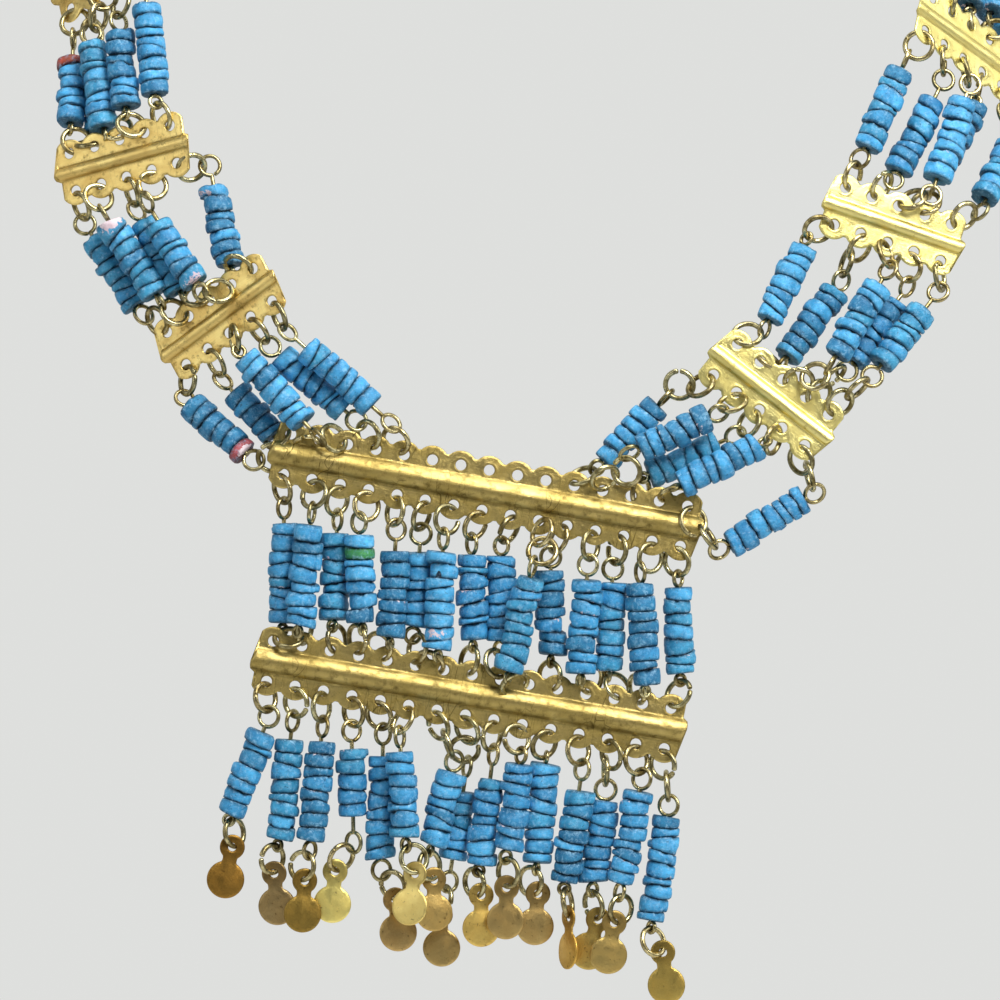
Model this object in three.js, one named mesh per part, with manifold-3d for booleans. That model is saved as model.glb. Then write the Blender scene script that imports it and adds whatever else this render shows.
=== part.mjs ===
// Bib necklace: two long stamped brass spacer bars carry a curtain of clay bead strings, a fringe of
// small brass drops hangs below them, and straps of five bead strings between short spacer bars lead
// up and back to a plain chain and hook. Millimetres, +Z up, +X to the wearer's left, +Y to the nape.
// The origin is at the nape, in the middle of the hook.
import * as THREE from 'three';
import { mergeVertices } from 'three/addons/utils/BufferGeometryUtils.js';
import Module from 'manifold-3d';

const wasm = await Module();
wasm.setup();

// Spacer bars: stamped sheet with one hole in each scallop and a hollow rib along the middle.
const HOLE_PITCH = 4.8;
const HOLE_RADIUS = 0.95;
const HOLE_SIDES = 6;
const SCALLOP_CREST = 2.3;
const SCALLOP_VALLEY = 0.7;
const SCALLOP_STEPS = 3;
const SHEET = 0.5;
const LONG_HOLES = 15;
const LONG_ROW_GAP = 6.8;
const LONG_RIB = { halfWidth: 1.6, height: 1.1 };
const SHORT_HOLES = 5;
const SHORT_ROW_GAP = 6.5;
const SHORT_RIB = { halfWidth: 0.95, height: 0.8 };
const RIB_STEPS = 5;
const RIB_NIB = 0.8;

// Bead strings: short clay discs threaded on wire pins, with a link to a hole at each end.
const BEAD_RADIUS = 2.3;
const STRING_SIDES = 8;
const LINK_RADIUS = 0.5;
const LINK_SIDES = 3;
const LINK_CLEARANCE = 0.3;
const LINK_ROOT = 0.6;
const TIE_RADIUS = 0.9;

// Fringe: the wire loop below each string, and the drop that hangs from it.
const LOOP_RADIUS = 2.35;
const LOOP_WIRE = 0.42;
const LOOP_TURN_DEG = 62;
const LOOP_STEPS = 10;
const WIRE_SIDES = 5;
const DISC_RADIUS = 3.15;
const LOBE_RADIUS = 2.1;
const LOBE_TO_DISC = 5.5;
const NECK_HALF_WIDTH = 1.2;
const DROP_SHEET = 0.5;
const DROP_HOLE_CLEARANCE = 0.5;
const DROP_HOLE_RADIUS = LOOP_WIRE + DROP_HOLE_CLEARANCE;
const DISC_STEPS = 11;
const LOBE_STEPS = 5;

// Closing at the nape.
const CHAIN_RADIUS = 1.1;
const CHAIN_STEPS = 11;
const CHAIN_LEAD = 2.5;
const CHAIN_CLEARANCE = 0.4;
const HOOK_WIRE = 0.6;
const HOOK_HALF_LENGTH = 5;
const HOOK_BEND = 2.2;
const HOOK_STEPS = 16;

// Where each bar hangs. turn swings its right end back about the upright, tilt raises its right end,
// and lean tips its upper row back towards the nape.
const BARS = {
  bib_bar_upper: { at: [-9.9, -105, -111.7], turn: 0, tilt: -10.3, lean: 0, long: true },
  bib_bar_lower: { at: [-12.7, -105, -145.8], turn: 0, tilt: -9.6, lean: 0, long: true },
  strap_bar_left_1: { at: [-54.3, -102, -82.7], turn: -25, tilt: 33, lean: 0 },
  strap_bar_left_2: { at: [-70.75, -96, -56], turn: -22, tilt: 13, lean: 5 },
  strap_bar_left_3: { at: [-74.2, -84, -22.8], turn: -38, tilt: 26, lean: 12 },
  strap_bar_left_4: { at: [-71, -61, -3], turn: -60, tilt: 28, lean: 45 },
  strap_bar_right_1: { at: [37.7, -104, -95.8], turn: 0, tilt: -37.7, lean: 0 },
  strap_bar_right_2: { at: [58.3, -98, -67.2], turn: 10, tilt: -18, lean: 5 },
  strap_bar_right_3: { at: [71.3, -87, -36], turn: 39, tilt: -27, lean: 12 },
  strap_bar_right_4: { at: [73.5, -66, -12], turn: 60, tilt: -28, lean: 45 },
};

// Upper curtain, one row for each string: the sideways shift of its first bead from the hole, the
// bare length above that bead, the sideways lean of its foot, its beaded length, and its depth
// behind (+) or in front of (-) the sheet of the bars.
const CURTAIN_COLUMNS = ['shift', 'bare', 'lean', 'beads', 'depth'];
const CURTAIN = [
  [0, 8.2, -0.2, 16.7, 1.8],
  [-0.2, 7.5, -2, 17, -2],
  [-0.6, 8.1, -0.7, 14.5, 1],
  [-1.5, 7.5, 0.5, 14.7, -1.6],
  [-0.3, 9.3, -0.8, 14.5, -1.2],
  [-1, 8.7, -1, 12.5, 1.6],
  [-1.8, 7.7, -0.8, 16.4, -1.2],
  [-1.7, 7.4, 0.2, 14.3, 1.1],
  [-1.5, 6.7, -0.2, 14.2, 1.6],
  [-1.4, 9.4, -3.5, 16.1, -3],
  [-2.7, 7.4, 0, 14.2, 0.8],
  [-1.4, 8.1, -1, 15.8, -1.2],
  [-1.9, 7.7, -0.8, 14.7, 1.4],
  [-1.9, 7, 0.7, 17, -1.1],
  [-0.3, 6.8, 0.3, 14.5, 1.1],
];
const CURTAIN_GROUP = 5;

// Fringe, one row for each string: as above, then the bare wire below its beads, the sideways shift
// of its loop, and the swing and yaw of its drop in degrees.
const FRINGE_COLUMNS = ['shift', 'bare', 'lean', 'beads', 'depth', 'wire', 'side', 'swing', 'yaw'];
const FRINGE = [
  [-0.6, 8.4, -5.3, 14.7, -0.5, 0.8, 0.2, -12, 8],
  [-0.8, 8.9, -2, 16.8, 1, 1, -0.7, 5, -6],
  [-0.4, 8.4, -1.7, 16.6, -0.4, 2, -1, -4, 10],
  [0, 8.9, 0.2, 11.2, 0.8, 4.5, -3, -5, 0],
  [0.4, 9.3, -0.2, 17.2, 1.8, 2.1, 2.3, 5, 8],
  [-1.3, 7.6, 0.8, 14.4, -2.4, 1.3, 1.6, -9, -22],
  [2.4, 10.3, -3.3, 12.6, 0.6, 1.1, 0.4, 0, 14],
  [-0.4, 12.9, -1.8, 11.5, 4.2, 4.6, -2, 2, -6],
  [-0.6, 9.9, -1.8, 14.4, 1, 0.4, 0.3, 0, 5],
  [-0.4, 6.5, -2.2, 14.5, -0.9, 1.6, 0, -2, -5],
  [-0.8, 5.7, -1.5, 16.7, 1.2, 0.4, 0.2, -5, 8],
  [0, 9.4, -2.3, 15.5, -0.2, 1.1, 0.6, 0, -62],
  [-0.5, 10.3, -1.8, 13.8, 1.6, 1.5, 0.8, -17, -6],
  [0.6, 7.9, -3, 15.5, -0.3, 2, -1.2, -10, 6],
  [0.5, 11.3, -2.5, 17.7, 0.8, 0.5, 1.8, 6, -8],
];

// Straps, one row for each string from the inner or left edge: the beads' middle, sideways and
// upwards from the middle of the line between its two holes, their turn off that line in degrees,
// their beaded length, and their depth behind (+) or in front of (-) that line.
const STRAP_COLUMNS = ['across', 'rise', 'turn', 'beads', 'depth'];
const EVEN_STRAP = [
  [-0.3, -0.6, 2, 14, 0.6],
  [0.2, -0.4, -2, 14, -0.6],
  [0, -0.5, 1, 14, 0.7],
  [-0.2, -0.4, -1, 14, -0.5],
  [0.3, -0.5, 2, 14, 0.6],
];
const STRAPS = [
  {
    name: 'strap_beads_left_1', below: 'bib_bar_upper', first: 0, above: 'strap_bar_left_1',
    rows: [
      [-3.6, -4.9, -8, 12.8, 0.6],
      [-2.2, -3.4, -8, 10.2, 1.4],
      [-0.8, -0.2, -4, 14.9, -3.6],
      [-0.5, 0.1, 6, 14.2, 0.8],
      [0.8, 0.1, 8, 14.8, -1.6],
    ],
  },
  {
    name: 'strap_beads_left_2', below: 'strap_bar_left_1', first: 0, above: 'strap_bar_left_2',
    rows: [
      [-1.8, -1.6, 0, 13.8, 2],
      [-1.2, -1.7, -1, 14.7, -1.8],
      [-1.7, -2.9, -6, 13.7, 1.1],
      [-1.6, -4.5, -4, 12.3, -2],
      [0.1, -1.6, -25, 13.9, 2.2],
    ],
  },
  {
    name: 'strap_beads_left_3', below: 'strap_bar_left_2', first: 0, above: 'strap_bar_left_3',
    rows: [
      [1.2, -2.2, -1, 12.2, -1.4],
      [-1.2, -4.1, 0, 13.6, 2.6],
      [-2.1, -4.7, 4, 15.6, -1],
      [-1.7, -3.6, -1, 13.7, -1.1],
      [-1.4, -1.7, -2, 16, -0.1],
    ],
  },
  {
    name: 'strap_beads_left_4', below: 'strap_bar_left_3', first: 0, above: 'strap_bar_left_4',
    rows: EVEN_STRAP,
  },
  {
    name: 'strap_beads_right_1', below: 'bib_bar_upper', first: 10, above: 'strap_bar_right_1',
    rows: [
      [-2.2, -0.5, 7, 13.2, 2],
      [0.7, 1.4, -12, 12.6, -2.9],
      [-1.9, -1, -9, 12.8, 1.7],
      [-0.3, -0.1, -4, 14.6, -3.1],
      [3.5, -7.6, 3, 14.9, 1.1],
    ],
  },
  {
    name: 'strap_beads_right_2', below: 'strap_bar_right_1', first: 0, above: 'strap_bar_right_2',
    rows: [
      [0.3, 0.4, 14, 14.1, 1.1],
      [0.8, -4, 3, 14.3, 2.9],
      [3, -1.9, 6, 14.1, -2.8],
      [2.9, -1.1, 1, 12.8, 1.8],
      [2.6, -0.2, -2, 12, -1.3],
    ],
  },
  {
    name: 'strap_beads_right_3', below: 'strap_bar_right_2', first: 0, above: 'strap_bar_right_3',
    rows: [
      [0.2, 0.2, 2, 14.8, 0.8],
      [2.3, -2.3, -1, 14, 1.4],
      [0.9, -2, 4, 15, -3.4],
      [2.8, 1.6, -4, 13.5, 2.8],
      [3.4, -2.9, -5, 12.6, -0.6],
    ],
  },
  {
    name: 'strap_beads_right_4', below: 'strap_bar_right_3', first: 0, above: 'strap_bar_right_4',
    rows: EVEN_STRAP,
  },
];

// The chosen points of each neck chain between its bar and the hook.
const CHAIN_ROUTES = [
  {
    name: 'neck_chain_left', bar: 'strap_bar_left_4', end: -1,
    points: [[-66, -49, 1.5], [-57, -33, 2.5], [-44, -18, 2.5], [-27, -6, 1.5]],
  },
  {
    name: 'neck_chain_right', bar: 'strap_bar_right_4', end: 1,
    points: [[67, -51, -3.5], [58, -33, 0], [44, -18, 1], [27, -6, 1]],
  },
];

const MATERIALS = {
  bar_brass: { color: 0xc9a648, roughness: 0.38, metalness: 1 },
  drop_brass: { color: 0xb8934e, roughness: 0.45, metalness: 1 },
  ring_brass: { color: 0x8a7a44, roughness: 0.42, metalness: 1 },
  clay: { color: 0x4a90c4, roughness: 0.75, metalness: 0 },
};

const group = new THREE.Group();

const point = (values) => new THREE.Vector3(...values);

const named = (columns, row) => Object.fromEntries(columns.map((column, i) => [column, row[i]]));

const radians = THREE.MathUtils.degToRad;

function addMesh(name, geometry, materialName) {
  const mesh = new THREE.Mesh(geometry, new THREE.MeshStandardMaterial(MATERIALS[materialName]));
  mesh.name = name;
  group.add(mesh);
  return mesh;
}

// Turns a closed geometry into a solid that can be joined and cut.
function solid(geometry) {
  const bare = geometry.clone();
  bare.deleteAttribute('normal');
  bare.deleteAttribute('uv');
  const merged = mergeVertices(bare);
  return new wasm.Manifold(new wasm.Mesh({
    numProp: 3,
    vertProperties: new Float32Array(merged.attributes.position.array),
    triVerts: new Uint32Array(merged.index.array),
  }));
}

function fuse(geometries) {
  const whole = geometries.map(solid).reduce((sum, next) => sum.add(next));
  return geometryOf(whole);
}

function geometryOf(whole) {
  const mesh = whole.getMesh();
  const geometry = new THREE.BufferGeometry();
  geometry.setAttribute('position', new THREE.BufferAttribute(new Float32Array(mesh.vertProperties), 3));
  geometry.setIndex(new THREE.BufferAttribute(new Uint32Array(mesh.triVerts), 1));
  geometry.computeVertexNormals();
  return geometry;
}

function circle(radius, sides, phase = 0) {
  const points = [];
  for (let i = 0; i < sides; i += 1) {
    const angle = phase + (2 * Math.PI * i) / sides;
    points.push(new THREE.Vector2(radius * Math.cos(angle), radius * Math.sin(angle)));
  }
  return points;
}

function arc(centreX, centreY, radius, fromDeg, toDeg, steps) {
  const points = [];
  for (let i = 0; i <= steps; i += 1) {
    const angle = radians(fromDeg + ((toDeg - fromDeg) * i) / steps);
    points.push(new THREE.Vector2(centreX + radius * Math.cos(angle), centreY + radius * Math.sin(angle)));
  }
  return points;
}

// A straight rod with flat ends between two points.
function rod(from, to, radius, sides) {
  const axis = to.clone().sub(from);
  const outline = new THREE.Shape(circle(radius, sides, Math.PI / sides));
  const geometry = new THREE.ExtrudeGeometry(outline, { depth: axis.length(), bevelEnabled: false });
  geometry.applyQuaternion(
    new THREE.Quaternion().setFromUnitVectors(new THREE.Vector3(0, 0, 1), axis.normalize()),
  );
  return geometry.translate(from.x, from.y, from.z);
}

function sizesOf(bar) {
  return bar.long
    ? { holes: LONG_HOLES, rowGap: LONG_ROW_GAP, rib: LONG_RIB }
    : { holes: SHORT_HOLES, rowGap: SHORT_ROW_GAP, rib: SHORT_RIB };
}

function barMatrix(bar) {
  const turn = radians(bar.turn);
  const tilt = radians(bar.tilt);
  const back = new THREE.Vector3(-Math.sin(turn), Math.cos(turn), 0);
  const along = new THREE.Vector3(
    Math.cos(turn) * Math.cos(tilt), Math.sin(turn) * Math.cos(tilt), Math.sin(tilt),
  );
  const upright = along.clone().cross(back);
  const up = upright.multiplyScalar(Math.cos(radians(bar.lean))).addScaledVector(back, Math.sin(radians(bar.lean)));
  const into = up.clone().cross(along);
  return new THREE.Matrix4().makeBasis(along, into, up).setPosition(point(bar.at));
}

const holeX = (index, holes) => (index - (holes - 1) / 2) * HOLE_PITCH;

// The middle of a hole of a bar: row +1 is the upper row, and -1 the lower.
function holePoint(bar, row, index) {
  const { holes, rowGap } = sizesOf(bar);
  return new THREE.Vector3(holeX(index, holes), 0, (row * rowGap) / 2).applyMatrix4(barMatrix(bar));
}

// Where the link from a string to a hole ends: on the side of the sheet that the string is on.
function linkEnd(bar, row, index, from) {
  const hole = holePoint(bar, row, index);
  const normal = new THREE.Vector3().setFromMatrixColumn(barMatrix(bar), 1);
  const side = Math.sign(from.clone().sub(hole).dot(normal)) || 1;
  return hole.addScaledVector(normal, side * (SHEET / 2 + LINK_CLEARANCE + LINK_RADIUS));
}

// The scalloped outline: an arc over each hole along the top, then the same along the bottom.
function barOutline(holes, rowGap) {
  const rise = SCALLOP_CREST - SCALLOP_VALLEY;
  const radius = ((HOLE_PITCH / 2) ** 2 + rise ** 2) / (2 * rise);
  const halfAngle = THREE.MathUtils.radToDeg(Math.atan2(HOLE_PITCH / 2, radius - rise));
  const centreZ = rowGap / 2 + SCALLOP_CREST - radius;
  const top = [];
  for (let i = 0; i < holes; i += 1) {
    const crest = arc(holeX(i, holes), centreZ, radius, 90 + halfAngle, 90 - halfAngle, SCALLOP_STEPS);
    top.push(...(i === 0 ? crest : crest.slice(1)));
  }
  const bottom = top.map((p) => new THREE.Vector2(-p.x, -p.y));
  return [...top, ...bottom].reverse();
}

// A half-round prism along the bar that stands base above the middle of the sheet, to the front.
function halfRound(halfWidth, height, base, length) {
  const outline = [];
  for (let i = 0; i <= RIB_STEPS; i += 1) {
    const angle = (Math.PI * i) / RIB_STEPS;
    outline.push(new THREE.Vector2(halfWidth * Math.cos(angle), base + height * Math.sin(angle)));
  }
  const geometry = new THREE.ExtrudeGeometry(new THREE.Shape(outline), { depth: length, bevelEnabled: false });
  geometry.translate(0, 0, -length / 2);
  return geometry.applyMatrix4(new THREE.Matrix4().makeBasis(
    new THREE.Vector3(0, 0, -1), new THREE.Vector3(0, -1, 0), new THREE.Vector3(-1, 0, 0),
  ));
}

function barGeometry(bar) {
  const { holes, rowGap, rib } = sizesOf(bar);
  const outline = new THREE.Shape(barOutline(holes, rowGap));
  for (let i = 0; i < holes; i += 1) {
    for (const row of [-1, 1]) {
      const centre = new THREE.Vector2(holeX(i, holes), (row * rowGap) / 2);
      outline.holes.push(new THREE.Path(circle(HOLE_RADIUS, HOLE_SIDES).map((p) => p.add(centre))));
    }
  }
  const sheet = new THREE.ExtrudeGeometry(outline, { depth: SHEET, bevelEnabled: false });
  sheet.translate(0, 0, -SHEET / 2);
  sheet.rotateX(Math.PI / 2);
  const ridgeLength = holes * HOLE_PITCH + 2 * RIB_NIB;
  const ridge = halfRound(rib.halfWidth, rib.height + SHEET / 2, 0, ridgeLength);
  const groove = halfRound(rib.halfWidth - SHEET, rib.height + SHEET / 2, -SHEET, ridgeLength + SHEET);
  return geometryOf(solid(sheet).add(solid(ridge)).subtract(solid(groove)));
}

// A bead string with a link from each given end out to the point that the link reaches.
function stringParts({ first, last, links }) {
  const parts = [rod(first, last, BEAD_RADIUS, STRING_SIDES)];
  for (const { from, to } of links) {
    const inward = (from === first ? last : first).clone().sub(from).setLength(LINK_ROOT);
    parts.push(rod(from.clone().add(inward), to, LINK_RADIUS, LINK_SIDES));
  }
  return parts;
}

// A bundle of neighbouring strings, held together in one body by a short tie between each two.
function addBundle(name, strings) {
  const parts = strings.flatMap(stringParts);
  for (let i = 1; i < strings.length; i += 1) {
    parts.push(rod(strings[i - 1].middle, strings[i].middle, TIE_RADIUS, LINK_SIDES));
  }
  addMesh(name, fuse(parts), 'clay');
}

// A string that hangs from a hole in a bar's lower row, linked to that hole.
function hangingString(bar, index, row) {
  const hole = holePoint(bar, -1, index);
  const first = new THREE.Vector3(hole.x + row.shift, hole.y + row.depth, hole.z - row.bare);
  const fall = Math.sqrt(row.beads ** 2 - row.lean ** 2);
  const last = new THREE.Vector3(first.x + row.lean, first.y, first.z - fall);
  const middle = first.clone().add(last).multiplyScalar(0.5);
  return { first, last, middle, links: [{ from: first, to: linkEnd(bar, -1, index, first) }] };
}

function addBars() {
  for (const [name, bar] of Object.entries(BARS)) {
    const mesh = addMesh(name, barGeometry(bar), 'bar_brass');
    mesh.applyMatrix4(barMatrix(bar));
  }
}

function addCurtain() {
  const strings = CURTAIN.map((values, i) => {
    const string = hangingString(BARS.bib_bar_upper, i, named(CURTAIN_COLUMNS, values));
    string.links.push({ from: string.last, to: linkEnd(BARS.bib_bar_lower, 1, i, string.last) });
    return string;
  });
  for (let start = 0; start < strings.length; start += CURTAIN_GROUP) {
    addBundle(`bib_beads_${start / CURTAIN_GROUP + 1}`, strings.slice(start, start + CURTAIN_GROUP));
  }
}

// A wire loop that stands upright, turned by yaw about the vertical.
function loop(centre, radius, wire, yawDeg) {
  const geometry = new THREE.TorusGeometry(radius, wire, WIRE_SIDES, LOOP_STEPS);
  geometry.rotateX(Math.PI / 2);
  geometry.rotateZ(radians(yawDeg));
  return geometry.translate(centre.x, centre.y, centre.z);
}

// The drop's plate in its own frame, its hole at the origin: a small lobe over a larger disc.
function dropPlate() {
  const discOpening = THREE.MathUtils.radToDeg(Math.asin(NECK_HALF_WIDTH / DISC_RADIUS));
  const lobeOpening = THREE.MathUtils.radToDeg(Math.asin(NECK_HALF_WIDTH / LOBE_RADIUS));
  const outline = new THREE.Shape([
    ...arc(0, 0, LOBE_RADIUS, -90 + lobeOpening, 270 - lobeOpening, LOBE_STEPS),
    ...arc(0, -LOBE_TO_DISC, DISC_RADIUS, 90 + discOpening, 450 - discOpening, DISC_STEPS),
  ]);
  outline.holes.push(new THREE.Path(circle(DROP_HOLE_RADIUS, HOLE_SIDES)));
  const plate = new THREE.ExtrudeGeometry(outline, { depth: DROP_SHEET, bevelEnabled: false });
  return plate.translate(0, 0, -DROP_SHEET / 2).rotateX(Math.PI / 2);
}

function addFringe() {
  FRINGE.forEach((values, i) => {
    const row = named(FRINGE_COLUMNS, values);
    const number = String(i + 1).padStart(2, '0');
    const string = hangingString(BARS.bib_bar_lower, i, row);
    const loopTop = string.last.clone().add(new THREE.Vector3(row.side, 0, -row.wire));
    string.links.push({ from: string.last, to: loopTop });
    const middle = loopTop.clone().add(new THREE.Vector3(0, 0, -LOOP_RADIUS));
    const ring = loop(middle, LOOP_RADIUS, LOOP_WIRE, row.yaw + LOOP_TURN_DEG);
    const parts = [...stringParts(string), ring];
    addMesh(`fringe_beads_${number}`, fuse(parts), 'clay');

    const drop = addMesh(`drop_${number}`, dropPlate(), 'drop_brass');
    drop.position.set(middle.x, middle.y, middle.z - LOOP_RADIUS);
    drop.rotation.set(0, radians(-row.swing), radians(row.yaw), 'YXZ');
  });
}

function addStraps() {
  for (const strap of STRAPS) {
    const strings = strap.rows.map((values, i) => {
      const row = named(STRAP_COLUMNS, values);
      const [below, above] = [BARS[strap.below], BARS[strap.above]];
      const lower = holePoint(below, 1, strap.first + i);
      const upper = holePoint(above, -1, i);
      const direction = upper.clone().sub(lower).normalize();
      direction.applyAxisAngle(new THREE.Vector3(0, -1, 0), radians(row.turn));
      const middle = lower.clone().add(upper).multiplyScalar(0.5);
      const normal = new THREE.Vector3().setFromMatrixColumn(barMatrix(above), 1);
      middle.add(new THREE.Vector3(row.across, 0, row.rise)).addScaledVector(normal, row.depth);
      const first = middle.clone().addScaledVector(direction, -row.beads / 2);
      const last = middle.clone().addScaledVector(direction, row.beads / 2);
      const links = [
        { from: first, to: linkEnd(below, 1, strap.first + i, first) },
        { from: last, to: linkEnd(above, -1, i, last) },
      ];
      return { first, last, middle, links };
    });
    addBundle(strap.name, strings);
  }
}

function addChains() {
  for (const route of CHAIN_ROUTES) {
    const bar = BARS[route.bar];
    const { holes, rowGap } = sizesOf(bar);
    const edge = rowGap / 2 + SCALLOP_CREST + CHAIN_CLEARANCE;
    const middleHole = holeX(Math.floor(holes / 2), holes);
    const lead = [edge, edge + CHAIN_LEAD].map((z) => new THREE.Vector3(middleHole, 0, z));
    const hookEnd = HOOK_HALF_LENGTH + HOOK_WIRE + LINK_CLEARANCE;
    const path = new THREE.CatmullRomCurve3([
      ...lead.map((p) => p.applyMatrix4(barMatrix(bar))),
      ...route.points.map(point),
      new THREE.Vector3(route.end * hookEnd, 0, 0),
    ]);
    const outline = new THREE.Shape(circle(CHAIN_RADIUS, STRING_SIDES));
    addMesh(route.name, new THREE.ExtrudeGeometry(outline, { extrudePath: path, steps: CHAIN_STEPS }), 'ring_brass');
  }
}

// An S of wire lying along X, with an open bend for each chain.
function addHook() {
  const quarter = HOOK_HALF_LENGTH / 2;
  const half = [
    [quarter / 2, HOOK_BEND], [quarter, HOOK_BEND], [HOOK_HALF_LENGTH, 0], [quarter, -HOOK_BEND],
  ];
  const right = half.map(([x, z]) => new THREE.Vector3(x, 0, z));
  const left = half.map(([x, z]) => new THREE.Vector3(-x, 0, -z)).reverse();
  const path = new THREE.CatmullRomCurve3([...right, ...left]);
  const outline = new THREE.Shape(circle(HOOK_WIRE, 6));
  addMesh('clasp_hook', new THREE.ExtrudeGeometry(outline, { extrudePath: path, steps: HOOK_STEPS }), 'ring_brass');
}

addBars();
addCurtain();
addFringe();
addStraps();
addChains();
addHook();

export default group;
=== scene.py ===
"""The look of the bib necklace.

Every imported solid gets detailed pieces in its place: stamped sheet bars, single clay discs on eye
pins, wire rings, thin drops, linked chains and the hook. Sizes below are millimetres, in the frame
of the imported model, and each mesh is turned into metres when it is made.
"""

import math
import random

import bpy
from mathutils import Matrix, Vector, noise
from mathutils.geometry import delaunay_2d_cdt


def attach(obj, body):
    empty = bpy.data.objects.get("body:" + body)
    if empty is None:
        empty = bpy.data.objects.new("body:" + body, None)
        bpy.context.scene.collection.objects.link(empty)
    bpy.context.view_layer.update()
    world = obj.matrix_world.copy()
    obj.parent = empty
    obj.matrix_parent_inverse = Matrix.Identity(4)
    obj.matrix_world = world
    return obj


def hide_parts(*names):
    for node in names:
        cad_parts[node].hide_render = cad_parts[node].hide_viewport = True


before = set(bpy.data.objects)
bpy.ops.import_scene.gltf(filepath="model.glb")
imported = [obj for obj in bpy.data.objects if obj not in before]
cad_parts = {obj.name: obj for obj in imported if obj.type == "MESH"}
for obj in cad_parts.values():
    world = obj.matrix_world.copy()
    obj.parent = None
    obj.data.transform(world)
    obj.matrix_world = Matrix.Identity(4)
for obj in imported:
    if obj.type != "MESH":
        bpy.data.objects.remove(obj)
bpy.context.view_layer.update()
MM = 0.001

# Spacer bars.
HOLE_PITCH = 4.8
HOLE_RADIUS = 0.9
SCALLOP_CREST = 2.4
SCALLOP_VALLEY = 1.0
SHEET = 0.42
RIB_NIB = 0.8
LONG_BAR = {"holes": 15, "row_gap": 6.8, "rib_width": 1.95, "rib_height": 1.15, "rib_edge": 0.8}
SHORT_BAR = {"holes": 5, "row_gap": 6.5, "rib_width": 1.15, "rib_height": 0.85, "rib_edge": 0.6}

# How a sheet is cut into faces: the inner line that keeps its edge crisp, the rounding of that
# edge, the sides of a scallop and of a hole, and the lines round a hole.
EDGE_INSET = 0.13
EDGE_ROLL = 0.1
SCALLOP_SIDES = 12
HOLE_SIDES = 18
HOLE_MARGINS = (0.13, 0.4)

# Clay discs: their size, how far one is pushed off centre, the slit between two with its dark disc
# of painted shade, and the dark core of painted shade that shows in the slits.
BEAD_RADIUS = 2.5
BEAD_BORE = 0.75
BEAD_THICKNESS = 2.05
BEAD_SEGMENTS = 26
THICKNESS_SHARES = (0.72, 0.9, 1, 1, 1.05, 1.12, 1.25)
RADIUS_SHARES = (0.94, 0.97, 0.99, 1, 1.02, 1.04)
SLANT = 0.115
MOST_PUSH = 0.4
SEAM = 0.05
SEAM_RADIUS = 0.8 * BEAD_RADIUS
SEAM_FILL = 0.04
SEAM_SIDES = 18
SHADE_CORE_RADIUS = 0.6 * BEAD_RADIUS

# Rings, eyes of the pins, and drops. A pin takes the widest eye that its wire has room for.
RING_RADIUS = 2.35
RING_WIRE = 0.45
RING_SPAN = 1.96 * RING_RADIUS
WIRE_PLAY = 0.04
EYE_RADII = (1.7, 1.5, 1.3, 1.1, 0.9)
EYE_WIRE = 0.35
EYE_CLEARANCE = 0.12
LOOP_RADIUS = 2.35
DISC_RADIUS = 3.15
LOBE_RADIUS = 2.1
LOBE_TO_DISC = 5.5
NECK_HALF_WIDTH = 1.2
DROP_HOLE_RADIUS = 0.7
DROP_SHEET = 0.38

# Chain and hook.
CHAIN_LEAD = 2.5
CHAIN_CLEARANCE = 0.3
CHAIN_WIRE = 0.3
LINK_HALF_LENGTH = 1.45
LINK_HALF_WIDTH = 0.8
LINK_PITCH = 2.05
LINK_SIDES = 20
HOOK_WIRE = 0.6
HOOK_HALF_LENGTH = 5.0
HOOK_BEND = 2.2
HOOK_GAP = 0.3

# Where each bar hangs: its middle, then turn, tilt and lean in degrees.
BARS = {
    "bib_bar_upper": ((-9.9, -105, -111.7), 0, -10.3, 0, LONG_BAR),
    "bib_bar_lower": ((-12.7, -105, -145.8), 0, -9.6, 0, LONG_BAR),
    "strap_bar_left_1": ((-54.3, -102, -82.7), -25, 33, 0, SHORT_BAR),
    "strap_bar_left_2": ((-70.75, -96, -56), -22, 13, 5, SHORT_BAR),
    "strap_bar_left_3": ((-74.2, -84, -22.8), -38, 26, 12, SHORT_BAR),
    "strap_bar_left_4": ((-71, -61, -3), -60, 28, 45, SHORT_BAR),
    "strap_bar_right_1": ((37.7, -104, -95.8), 0, -37.7, 0, SHORT_BAR),
    "strap_bar_right_2": ((58.3, -98, -67.2), 10, -18, 5, SHORT_BAR),
    "strap_bar_right_3": ((71.3, -87, -36), 39, -27, 12, SHORT_BAR),
    "strap_bar_right_4": ((73.5, -66, -12), 60, -28, 45, SHORT_BAR),
}

# Curtain strings: shift of the first bead, bare wire above it, lean, beaded length, depth.
CURTAIN = [
    (0, 8.2, -0.2, 16.7, 1.8),
    (-0.2, 7.5, -2, 17, -2),
    (-0.6, 8.1, -0.7, 14.5, 1),
    (-1.5, 7.5, 0.5, 14.7, -1.6),
    (-0.3, 9.3, -0.8, 14.5, -1.2),
    (-1, 8.7, -1, 12.5, 1.6),
    (-1.8, 7.7, -0.8, 16.4, -1.2),
    (-1.7, 7.4, 0.2, 14.3, 1.1),
    (-1.5, 6.7, -0.2, 14.2, 1.6),
    (-1.4, 9.4, -3.5, 16.1, -3),
    (-2.7, 7.4, 0, 14.2, 0.8),
    (-1.4, 8.1, -1, 15.8, -1.2),
    (-1.9, 7.7, -0.8, 14.7, 1.4),
    (-1.9, 7, 0.7, 17, -1.1),
    (-0.3, 6.8, 0.3, 14.5, 1.1),
]

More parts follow.
